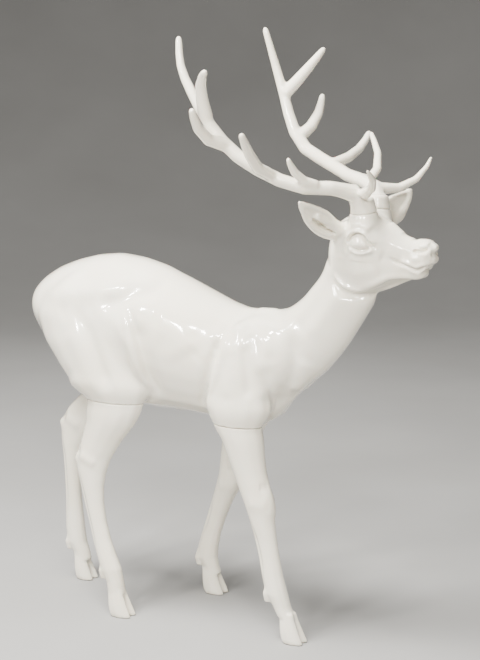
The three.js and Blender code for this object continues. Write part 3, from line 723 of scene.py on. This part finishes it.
def cut_ports(values, axes):
    """The belly's recesses and bores, for the hatch, the cord inlet and the switch."""
    for node, drop, recess, bore in PORTS:
        low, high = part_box(node)
        roof = Vector(((low.x + high.x) / 2, (low.y + high.y) / 2, low.z + drop * MM))
        reach = (recess + PORT_REACH) * MM
        bottom, top = Vector((reach, reach, PORT_DOWN)), Vector((reach, reach, PORT_UP))
        place, part = window(axes, roof - bottom, roof + top)
        height, radius = round_an_axis(part, roof, (0, 0, 1))
        under = np.maximum(radius - recess * MM, height)
        through = np.maximum(radius - bore * MM, height - (high.z + BORE_ENDS - roof.z))
        values[place] = np.maximum(values[place], -np.minimum(under, through))


def chain(axes, places, radius):
    """Distance to a bent rod, given in millimetres."""
    rods = [capsule(axes, start, end, (radius, radius)) for start, end in zip(places, places[1:])]
    return np.minimum.reduce(rods)


def smooth_cut(values, tool, width):
    """What is left of a field when a tool is cut from it, with edges rounded over a width."""
    return -smooth_min(-values, tool, width)


def ear_field(axes):
    """Both ears with their roots."""
    ears = np.full([len(axis) for axis in axes], OUT_OF_BOX, np.float32)
    for side in SIDES:
        field = solid_field(["ear_" + side], EAR_STEP, EAR_BLUR)
        place, part = window(axes, *field.box())
        ears[place] = np.minimum(ears[place], field.on(part))
    ears = smooth_min(ears, chain(axes, EAR_EDGE, radius=9), width=9 * MM)
    for start, end, radii in EAR_ROOTS:
        ears = smooth_min(ears, capsule(axes, start, end, radii), width=16 * MM)
    ears = smooth_min(ears, chain(axes, EAR_LOBE, radius=9), width=7 * MM)
    return smooth_cut(ears, chain(axes, EAR_TRIM, radius=22), width=5 * MM)


def cut_slots(values, axes, places, radius):
    """Round-bottomed slots along the same line on both flanks."""
    for side in SIDES.values():
        line = [(x, -y * side, z) for x, y, z in places]
        low, high = metres(np.min(line, 0) - SLOT_MARGIN), metres(np.max(line, 0) + SLOT_MARGIN)
        place, part = window(axes, low, high)
        values[place] = smooth_cut(values[place], chain(part, line, radius), width=2 * MM)


def body_clay(figure):
    """Trunk, neck, head and ears, with flat seats for legs and antlers, and ports in the belly."""
    axes = body_axes()
    values = smooth_figure(axes, figure)
    around, part = window(axes, *metres(HEAD_BOX))
    head = values[around]
    for start, end, radii in EAR_SPACE:
        head = smooth_cut(head, capsule(part, start, end, radii), width=10 * MM)
    for side in SIDES.values():
        (x0, y0, z0), (x1, y1, z1), radii = STUMP
        stump = capsule(part, (x0, y0 * side, z0), (x1, y1 * side, z1), radii)
        head = smooth_min(head, stump, width=36 * MM)
    head = smooth_min(head, ear_field(part), width=12 * MM)
    deep = [tuple(np.add(place, SLIT_DEPTH)) for place in EAR_SLIT[2:]]
    slit = np.minimum(chain(part, EAR_SLIT, radius=5), chain(part, deep, radius=4.5))
    values[around] = smooth_cut(head, slit, width=2 * MM)
    cut_slots(values, axes, NOSTRIL, radius=4.6)
    cut_slots(values, axes, EYE_CREASE, radius=3.5)
    for name in LEGS:
        values = np.maximum(values, -leg_zone(name, axes))
    cut_antler_seats(values, axes)
    cut_ports(values, axes)
    clay = Clay(values, axes)
    clay.smooth(3)
    return clay


LEG_STEP = 2.8 * MM
LEG_MARGIN = 9 * MM
HOOF_TO_LEG = (0.17, 0.26)  # between these heights the crisp hoof turns into the smooth leg


def leg_clay(name, figure):
    """A leg from its flat sole to its joint."""
    low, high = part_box("leg_" + name)
    joint = joint_of(name)
    axes = [
        even(low.x - LEG_MARGIN, high.x + LEG_MARGIN, LEG_STEP),
        even(low.y - LEG_MARGIN, high.y + LEG_MARGIN, LEG_STEP),
        even(-LEG_STEP * 2, joint + LEG_STEP * 2, LEG_STEP),
    ]
    whole = smooth_figure(axes, figure)
    hoof = LEG_FIELDS[name].on(axes)
    share = blend_weight(axes[2], *HOOF_TO_LEG)[None, None, :]
    values = hoof + (whole - hoof) * share
    values = np.maximum(values, hoof - LEG_FLESH + SEAM)
    values = np.maximum(values, (axes[2] - joint + SEAM)[None, None, :])
    values = np.maximum(values, -axes[2][None, None, :])
    clay = Clay(values, axes)
    clay.smooth(3)
    clay.points[:, 2] = np.maximum(clay.points[:, 2], 0)
    return clay


# ---------------------------------------------------------------- sculpting


# Lines of the right flank and of the left one, where the legs' stride moves them apart.
THIGH_EDGE = {
    "right": [(-77, 905), (-58, 876), (-30, 788), (-13, 717), (-10, 655)],
    "left": [(-92, 905), (-84, 876), (-72, 788), (-82, 717), (-104, 655)],
}
THIGH_RIDGE = {
    "right": [(-106, 889), (-83, 846), (-55, 805), (-38, 752), (-34, 691)],
    "left": [(-120, 889), (-108, 846), (-98, 805), (-106, 752), (-126, 691)],
}
HAM_GROOVE = {
    "right": [(-248, 901), (-205, 848), (-176, 800), (-145, 733), (-112, 665)],
    "left": [(-268, 901), (-236, 848), (-214, 800), (-194, 733), (-180, 665)],
}
ARM_REAR = {
    "right": [(250, 890), (236, 855), (223, 807), (205, 739), (184, 675), (176, 630)],
    "left": [(250, 890), (236, 855), (220, 807), (198, 739), (168, 675), (146, 630)],
}


def sculpt_trunk(clay):
    """The muscles of both flanks and the neck, and the withers."""
    for name, side in SIDES.items():

        def stroke(line, width, **kwargs):
            clay.stroke(line, width, side=side, **kwargs)

        # barrel and flank
        stroke([(10, 880), (90, 868), (140, 790)], 55, height=6)
        edge = THIGH_EDGE[name]
        stroke([(x + 26, z) for x, z in edge[1:]], 26, height=-8)
        # loin: a valley runs forward from the hip, over the ribs and under the back
        stroke([(-170, 906), (-100, 928), (-40, 950), (40, 966)], 27, height=-9)
        stroke([(-330, 893), (-304, 925), (-217, 952), (-134, 956), (-60, 980)], 32, height=4)
        stroke([(-300, 872), (-240, 896), (-170, 896)], 32, height=-4)
        # thigh: its front edge stands over the flank, and a groove runs down behind it
        stroke(edge, 15, step=-6)
        stroke(THIGH_RIDGE[name], 21, height=6)
        stroke(HAM_GROOVE[name], 21, height=-8)
        stroke([(x - 55, z - 8) for x, z in HAM_GROOVE[name][1:]], 26, height=3)
        # shoulder: the upper arm stands over the ribs, and the blade's edge arches over it
        rear = ARM_REAR[name]
        stroke(rear, 13, step=5.5)
        stroke([(x - 15, z) for x, z in rear[1:]], 17, height=-6)
        stroke([(x + 24, z) for x, z in rear[1:]], 20, height=5)
        stroke([(240, 874), (214, 858), (182, 836), (140, 808)], 36, step=2)
        stroke([(214, 836), (180, 808), (150, 780)], 34, height=-2.5)
        stroke([(240, 868), (262, 890), (300, 902), (350, 896), (392, 872)], 20, step=-4)
        stroke([(288, 872), (320, 862), (346, 840), (354, 806), (344, 750)], 18, height=5)
        stroke([(296, 836), (308, 790), (318, 735), (320, 680)], 14, height=-6)
        stroke([(268, 800), (262, 740), (258, 680)], 17, height=3)
        stroke([(418, 878), (434, 810), (424, 750), (392, 690), (360, 640)], 20, height=-8)
        stroke([(368, 800), (376, 740), (362, 680)], 20, height=4)
        stroke([(470, 800), (446, 740), (410, 690)], 30, height=5)
        # neck: a long hollow under its crest, and the windpipe's edge
        stroke([(428, 866), (466, 915), (508, 990), (534, 1045)], 24, height=-5)
        stroke([(470, 860), (520, 930), (560, 985)], 24, height=3)
    clay.stroke([(280, 0, 922), (312, 0, 922), (344, 0, 923)], 34, height=3)


RIM_DEPTH = 2 * MM  # what counts as the rim at a leg's top
JOINT_SWELL = 0.085  # share by which the body grows over a joint, and both shrink at it
JOINT_ROUND = (-1.5, -1.25)  # fades from 1.25 to 1.5 half widths off a leg's middle
BULGE_OVER, BULGE_HEIGHT = 50 * MM, 30 * MM  # where the body swells most, and how gradually
DRAWN_OVER, DRAWN_UNDER = 17 * MM, 26 * MM  # how soon the drawing-in ends over and under the joint


def leg_top(name):
    """The middle and the half widths of a leg where it meets the body."""
    corners, _ = triangles(["leg_" + name])
    rim = corners[corners[:, 2] > corners[:, 2].max() - RIM_DEPTH, :2]
    return (rim.min(0) + rim.max(0)) / 2, (rim.max(0) - rim.min(0)) / 2


def shape_joint(clay, name):
    """The body bulges over a leg, and both draw in towards the joint between them."""

    def bell(height, width):
        return JOINT_SWELL * np.exp(-((height / width) ** 2))

    middle, half = leg_top(name)
    gap = clay.points[:, :2] - middle
    around = blend_weight(-np.linalg.norm(gap / half, axis=1), *JOINT_ROUND)
    height = clay.points[:, 2] - joint_of(name)
    above = bell(height - BULGE_OVER, BULGE_HEIGHT) - bell(height, DRAWN_OVER)
    below = -bell(height, DRAWN_UNDER)
    share = np.where(height > 0, above, below) * around
    clay.points[:, :2] += gap * share[:, None]


UPPER_LID = [(589, 1126), (595, 1136), (607, 1148), (625, 1154), (641, 1148), (654, 1133), (670, 1116)]
LOWER_LID = [(594, 1121), (608, 1108), (628, 1103), (648, 1107), (666, 1115)]
LID_CREASE = [(602, 1122), (613, 1115), (630, 1111), (648, 1114), (660, 1121)]
MOUTH = [(696, 1096), (712, 1087), (729, 1079), (745, 1072), (760, 1066), (774, 1062), (788, 1067),
         (812, 1076)]
JAW = [(806, 1046), (790, 1040), (765, 1035), (741, 1036), (715, 1035), (694, 1030), (670, 1016),
       (638, 1001), (606, 993), (575, 999), (552, 1014), (536, 1040)]
LOWER_LIP = [(802, -22, 1056), (806, 0, 1055), (802, 22, 1056)]


def sculpt_head(clay):
    """The planes of the skull, the jaw, eyes, mouth and nose."""
    # creases round the stumps of the antlers melt
    for side in SIDES.values():
        clay.relax(60, (608, 42 * side, 1160), 30)
        clay.relax(60, (652, 37.8 * side, 1170), 24)
    for side in SIDES.values():

        def stroke(line, width, **kwargs):
            clay.stroke(line, width, side=side, **kwargs)

        # broad planes
        stroke([(600, 1056), (640, 1046), (680, 1056)], 34, height=4)
        stroke([(676, 1098), (710, 1088), (740, 1086)], 15, height=-4)
        stroke([(655, 1162), (690, 1138), (725, 1122), (762, 1112)], 10, height=3)
        stroke([(598, 1176), (630, 1180), (658, 1164)], 13, height=5)
        stroke([(560, 1150), (572, 1120), (568, 1085)], 17, height=-4)
        # jaw: its edge overhangs the throat
        stroke(JAW, 10, step=-6.5, fade=0.12)
        stroke([(x + 2, z - 15) for x, z in JAW[3:]], 13, height=-6)
        stroke([(x + 3, z + 15) for x, z in JAW[3:-1]], 13, height=3)
        # eye: a socket, a ball, and the lids round it
        stroke([(596, 1124), (628, 1126), (662, 1116)], 22, height=-5)
        stroke([(618, 1128), (628, 1129), (642, 1127)], 11, height=7, fade=0)
        stroke([(x, z + 10) for x, z in UPPER_LID], 6.5, height=5, fade=0.15)
        stroke(UPPER_LID, 4.0, height=-12, fade=0.1)
        stroke(LID_CREASE, 3.6, height=-6, fade=0.3)
        stroke(LOWER_LID, 5.5, height=5.5)
        stroke([(x + 2, z - 12) for x, z in LOWER_LID], 8, height=-3.5)
        # mouth
        stroke([(x, z + 9) for x, z in MOUTH[2:]], 8, height=4)
        stroke([(x, z - 9) for x, z in MOUTH[3:]], 7, height=3)
        stroke(MOUTH, 3.8, height=-7.5, fade=0.25)
        stroke([(754, 1092), (776, 1093), (802, 1094)], 11, height=3)
        # the pads round the nostril
        stroke([(774, 1124), (788, 1131), (804, 1130)], 7, height=4)
        stroke([(778, 1103), (790, 1105), (806, 1104)], 6, height=2.5)
    # the lower lip draws back; then nose pad, the notch under it, upper lip and the mouth's front
    clay.stroke(LOWER_LIP, 13, height=-15, fade=0, toward=(1, 0, -0.2))
    clay.stroke([(815, -14, 1124), (820, 0, 1125), (815, 14, 1124)], 11, height=7, fade=0.1)
    clay.stroke([(812, -26, 1107), (818, 0, 1105), (812, 26, 1107)], 6, height=-11, fade=0.15)
    clay.stroke([(812, -20, 1090), (818, 0, 1089), (812, 20, 1090)], 9, height=4, fade=0.15)
    clay.stroke([(806, -24, 1074), (812, 0, 1070), (806, 24, 1074)], 5, height=-9, fade=0.15)
    for place, radius in (((816, 0, 1100), 22), ((802, 0, 1048), 16)):
        clay.relax(12, place, radius)
    # the bridge of the nose, and the dip in front of it
    clay.stroke([(680, 0, 1184), (706, 0, 1170), (728, 0, 1156)], 17, height=5)
    clay.stroke([(748, 0, 1147), (766, 0, 1146)], 12, height=-3)


# The hock's point or the knee's front on each leg, as (x, z) on its middle plane.
HOCKS = {"hind_right": (-263, 449), "hind_left": (-464, 496)}
KNEES = {"front_right": (391, 384), "front_left": (156, 352)}


EDGE_SLICE, MIDDLE_SLICE = 3 * MM, 6 * MM  # half the height of the slices that a leg is measured in
LOWEST_TENDON = 150
TENDON_INSET = 12
ACROSS_HALF = 13  # half the length of a stroke across a leg
PASTERN, PASTERN_SPREAD = 80 * MM, 20 * MM


def back_edge(clay, heights, inset):
    """The line so far in front of a leg's back edge, as (x, z) at some heights."""
    x, _, z = clay.points.T
    backs = [x[np.abs(z - h * MM) < EDGE_SLICE].min() for h in heights]
    return [((back - ORIGIN.x) / MM + inset, h) for back, h in zip(backs, heights)]


def sculpt_leg(clay, name):
    """The hock or the knee, the tendon down the leg's back, and the pastern."""
    _, y, z = clay.points.T

    def middle_at(height):
        near = np.abs(z - height * MM) < MIDDLE_SLICE
        return ((y[near].min() + y[near].max()) / 2 - ORIGIN.y) / MM

    def across(x, z, width, **kwargs):
        middle = middle_at(z)
        line = [(x, middle + reach, z) for reach in (-ACROSS_HALF, 0, ACROSS_HALF)]
        clay.stroke(line, width, fade=0, **kwargs)

    def both_sides(line, width, **kwargs):
        middle = middle_at(sum(height for _, height in line) / len(line))
        for side in (-1, 1):
            clay.stroke(line, width, side=side, middle=middle, **kwargs)

    if name in HOCKS:
        x0, z0 = HOCKS[name]
        across(x0, z0, 15, height=9, toward=(-1, 0, 0.1))
        both_sides([(x0 + 22, z0 + 92), (x0 + 20, z0 + 50), (x0 + 22, z0 + 14)], 9, height=-4)
        both_sides([(x0 + 30, z0 + 18), (x0 + 60, z0 + 6), (x0 + 92, z0 - 6)], 15, height=3.5)
        heights = range(z0 - 30, LOWEST_TENDON, -40)
    else:
        x0, z0 = KNEES[name]
        across(x0 - 3, z0 + 12, 22, height=3.5, toward=(1, 0, 0))
        across(x0 - 3, z0 - 16, 20, height=3.5, toward=(1, 0, 0))
        both_sides([(x0 - 12, z0 + 4), (x0 - 44, z0 + 4), (x0 - 74, z0 + 2)], 20, height=2.5)
        both_sides([(x0 - 10, z0 + 54), (x0 - 40, z0 + 52)], 14, height=-2.5)
        heights = range(z0 - 50, LOWEST_TENDON, -40)
    both_sides(back_edge(clay, heights, TENDON_INSET), 6, height=-3.2, fade=0.35)
    # the top of the hoof flows into the pastern
    clay.smooth(24, where=np.exp(-(((z - PASTERN) / PASTERN_SPREAD) ** 2)))


# ---------------------------------------------------------------- assembly


def piece(made, body, slot, *replaced):
    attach(made, body)
    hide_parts(*replaced)


ANTLER_STEP, ANTLER_BLUR = 2.4 * MM, 4.2 * MM
SLIM_FROM = (0.05, 0.10)  # the beam grows slimmer between these distances from the burr,
SLIM_TO = (-0.42, -0.16)  # and gains its thickness again from 0.16 to 0.42 m off it
SLIMMED, SWOLLEN = 4.0, 0.7  # how much is taken off the beam there, and put on everywhere
FOOT_RADIUS, FOOT_MIDDLE, FOOT_HALF = 31.5 * MM, 12 * MM, 18 * MM
FOOT_TAPER, TAPER_FROM = 0.45, 4 * MM
FOOT_BLEND = 18 * MM
PIN_BORE, PIN_DEPTH = 11.4 * MM, 26.4 * MM
SMOOTH_BEAM = (30 * MM, 50 * MM)  # the beam is smoothed more, from between these heights on


def antler_clay(name):
    """An antler, slimmer along its beam, that ends flat at the burr with a bore for its pin."""
    field = solid_field(["antler_" + name], ANTLER_STEP, ANTLER_BLUR)
    axes = [field.low[a] + np.arange(field.values.shape[a]) * field.step for a in range(3)]
    middle, axis = burr(name)
    height, radius = round_an_axis(axes, middle, axis)
    reach = np.hypot(height, radius)
    slim = blend_weight(reach, *SLIM_FROM) * blend_weight(-reach, *SLIM_TO)
    values = field.values + (SLIMMED * slim - SWOLLEN) * MM
    taper = FOOT_TAPER * np.maximum(height - TAPER_FROM, 0)
    foot = np.maximum(radius + taper - FOOT_RADIUS, np.abs(height - FOOT_MIDDLE) - FOOT_HALF)
    values = smooth_min(values, foot, FOOT_BLEND)
    values = np.maximum(values, -height)
    values = np.maximum(values, -np.maximum(radius - PIN_BORE, height - PIN_DEPTH))
    clay = Clay(values.astype(np.float32), axes)
    clay.smooth(40, where=blend_weight((clay.points - middle) @ axis, *SMOOTH_BEAM))
    clay.smooth(2)
    return clay


TRUNK_BLUR = 13 * MM
LEG_FIELD_STEP, LEG_FIELD_BLUR, LEG_FIELD_MARGIN = 2.5 * MM, 2.2 * MM, 16 * MM

figure = Figure()
TRUNK_FIELD = figure.coarse.blurred(TRUNK_BLUR)
LEG_FIELDS = {
    name: solid_field(
        ["leg_" + name, "leg_rod_" + name], LEG_FIELD_STEP, LEG_FIELD_BLUR, LEG_FIELD_MARGIN
    )
    for name in LEGS
}

body = body_clay(figure)
sculpt_trunk(body)
for leg in LEGS:
    shape_joint(body, leg)
body.smooth(4)
sculpt_head(body)
body.smooth(1)
piece(
    body.object("body_skin", SKIN), "figure", "skin",
    "body_shell_right", "body_shell_left", "ear_right", "ear_left",
)
for leg in LEGS:
    clay = leg_clay(leg, figure)
    shape_joint(clay, leg)
    sculpt_leg(clay, leg)
    piece(clay.object(f"leg_skin_{leg}", SKIN), "figure", "skin", "leg_" + leg)
for antler in SIDES:
    clay = antler_clay(antler)
    made = clay.object(f"antler_skin_{antler}", SKIN)
    piece(made, f"antler_{antler}_body", "skin", "antler_" + antler)
finish_cad_nodes()

# ---------------------------------------------------------------- studio

AZIMUTH, ELEVATION, DISTANCE = 29.02, 10.11, 5.078  # the photograph's view, from a point of aim
AIM = Vector((0.048, 0.0, 0.850))
LENS, SENSOR = 98.1, 36.0


def aimed(made, place, target):
    """Puts a camera or a lamp in the scene, at a place and turned to a target."""
    made.location = place
    made.rotation_euler = (Vector(target) - Vector(place)).to_track_quat("-Z", "Y").to_euler()
    bpy.context.scene.collection.objects.link(made)
    return made


def camera():
    turn, rise = math.radians(AZIMUTH), math.radians(ELEVATION)
    level = math.cos(rise)
    back = Vector((math.sin(turn) * level, -math.cos(turn) * level, math.sin(rise)))
    made = bpy.data.cameras.new("camera")
    made.lens = LENS
    made.sensor_fit = "VERTICAL"
    made.sensor_height = SENSOR
    seen_from = AIM + back * DISTANCE
    bpy.context.scene.camera = aimed(bpy.data.objects.new("camera", made), seen_from, AIM)


def lamp(name, place, target, size, watts, tint=(1, 1, 1), gloss=True):
    """A rectangular light. Without gloss it lights the figure but isn't mirrored in it."""
    made = bpy.data.lights.new(name, "AREA")
    made.shape = "RECTANGLE"
    made.size, made.size_y = size
    made.energy = watts
    made.color = tint
    aimed(bpy.data.objects.new(name, made), place, target).visible_glossy = gloss


WARM, WARMER = (1, 0.985, 0.95), (1, 0.96, 0.90)


def studio():
    """Three softboxes light the figure, and a row of small lamps gives it its highlights."""
    lamp("key_softbox", (-0.9, -1.2, 4.5), (0, 0, 0.8), (2.0, 1.6), 740, WARM, gloss=False)
    lamp("front_softbox", (3.6, -1.6, 1.8), (0.2, 0, 0.9), (1.2, 1.6), 40, WARMER, gloss=False)
    lamp("back_softbox", (-2.5, 3.2, 2.6), (0, 0, 0.9), (1.6, 1.0), 40, gloss=False)
    for number, x in enumerate((-1.5, -0.6, 0.3, 1.2, 2.1)):
        place = (x, -2.8, 2.9 - 0.5 * (number % 2))
        lamp(f"spot_{number}", place, (x * 0.4, 0, 0.9), (0.34, 0.22), 56, WARM)
    world = bpy.data.worlds.new("studio")
    world.use_nodes = True
    background = world.node_tree.nodes["Background"]
    background.inputs["Color"].default_value = (0.92, 0.94, 1.0, 1)
    background.inputs["Strength"].default_value = 0.10
    bpy.context.scene.world = world


FLOOR_INNER, FLOOR_FLAT, FLOOR_REACH, WALL_HEIGHT = 0.8, 5.0, 10.0, 7.0
SPOKES, BENDS = 96, 12  # sides of the floor's rings, and rings in its curve up to the wall


def floor():
    """A round pale floor that curves up into a wall all the way round."""
    turn = np.linspace(0, math.pi / 2, BENDS + 1)
    rise = FLOOR_REACH - FLOOR_FLAT
    profile = [(FLOOR_INNER, 0), (FLOOR_FLAT, 0)]
    profile += [(FLOOR_FLAT + rise * math.sin(a), rise * (1 - math.cos(a))) for a in turn[1:]]
    profile.append((FLOOR_REACH, WALL_HEIGHT))
    shape = bmesh.new()
    for radius, height in profile:
        bmesh.ops.create_circle(shape, segments=SPOKES, radius=radius)
        shape.verts.ensure_lookup_table()
        for vert in shape.verts[-SPOKES:]:
            vert.co.z = height
    shape.verts.ensure_lookup_table()
    shape.faces.new(shape.verts[:SPOKES])
    for ring in range(len(profile) - 1):
        for i in range(SPOKES):
            a, b = ring * SPOKES + i, ring * SPOKES + (i + 1) % SPOKES
            shape.faces.new([shape.verts[j] for j in (a, a + SPOKES, b + SPOKES, b)])
    mesh = bpy.data.meshes.new("floor")
    shape.to_mesh(mesh)
    shape.free()
    mesh.polygons.foreach_set("use_smooth", np.ones(len(mesh.polygons), bool))
    made = bpy.data.objects.new("floor", mesh)
    bpy.context.scene.collection.objects.link(made)
    material, nodes, links, shader = new_material("pale_floor")
    stops = [(0.3, (0.29, 0.285, 0.275)), (0.7, (0.32, 0.315, 0.305))]
    clouds = ramp(nodes, links, noise(nodes, links, 1.2), stops)
    links.new(clouds, shader.inputs["Base Color"])
    shader.inputs["Roughness"].default_value = 0.8
    mesh.materials.append(material)


camera()
studio()
floor()
